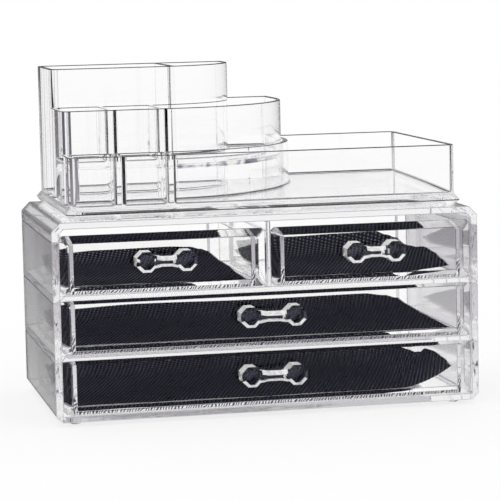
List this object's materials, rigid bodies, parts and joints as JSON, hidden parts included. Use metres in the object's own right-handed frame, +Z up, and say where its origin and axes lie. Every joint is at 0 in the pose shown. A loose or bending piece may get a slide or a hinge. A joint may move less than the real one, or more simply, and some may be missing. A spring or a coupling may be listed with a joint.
{
  "type": "makeup organizer with drawers",
  "caption": "Clear makeup organizer: a cabinet of sliding drawers with mesh liners, under a lift-off top with stepped cups and an open tray.",
  "frame": {"origin": "middle of the footprint, handles included, on the surface that the feet stand on", "axes": "+X to the right along the longest side as seen from the front, +Y to the rear, +Z up; the drawers open towards -Y"},
  "size_m": [0.24, 0.148, 0.1926],
  "materials": {
    "clear_plastic": "clear, polished, with a faint lilac tint",
    "clear_handle": "clear, polished, faceted",
    "black_mesh": "woven black plastic mesh with a satin sheen"
  },
  "bodies": {
    "cabinet": {"lower_tier": "clear_plastic", "middle_tier": "clear_plastic", "upper_tier": "clear_plastic", "top_cover": "clear_plastic", "centre_divider": "clear_plastic", "foot_front_left": "clear_plastic", "foot_front_right": "clear_plastic", "foot_rear_left": "clear_plastic", "foot_rear_right": "clear_plastic"},
    "bottom_drawer": {"bottom_drawer_front": "clear_plastic", "bottom_drawer_tray": "clear_plastic", "bottom_drawer_handle": "clear_handle", "bottom_drawer_liner": "black_mesh"},
    "middle_drawer": {"middle_drawer_front": "clear_plastic", "middle_drawer_tray": "clear_plastic", "middle_drawer_handle": "clear_handle", "middle_drawer_liner": "black_mesh"},
    "left_drawer": {"left_drawer_front": "clear_plastic", "left_drawer_tray": "clear_plastic", "left_drawer_handle": "clear_handle", "left_drawer_liner": "black_mesh"},
    "right_drawer": {"right_drawer_front": "clear_plastic", "right_drawer_tray": "clear_plastic", "right_drawer_handle": "clear_handle", "right_drawer_liner": "black_mesh"},
    "lift_off_top": {"top_base": "clear_plastic", "front_cup_row": "clear_plastic", "middle_cup_row": "clear_plastic", "rear_cup_row": "clear_plastic", "tray_wall": "clear_plastic"}
  },
  "joints": [
    {"name": "bottom_drawer_slide", "type": "slide", "parent": "cabinet", "child": "bottom_drawer", "axis": [0, -1, 0], "range_m": [0, 0.11]},
    {"name": "middle_drawer_slide", "type": "slide", "parent": "cabinet", "child": "middle_drawer", "axis": [0, -1, 0], "range_m": [0, 0.11]},
    {"name": "left_drawer_slide", "type": "slide", "parent": "cabinet", "child": "left_drawer", "axis": [0, -1, 0], "range_m": [0, 0.11]},
    {"name": "right_drawer_slide", "type": "slide", "parent": "cabinet", "child": "right_drawer", "axis": [0, -1, 0], "range_m": [0, 0.11]},
    {"name": "top_lift", "type": "slide", "parent": "cabinet", "child": "lift_off_top", "axis": [0, 0, 1], "range_m": [0, 0.1]}
  ]
}
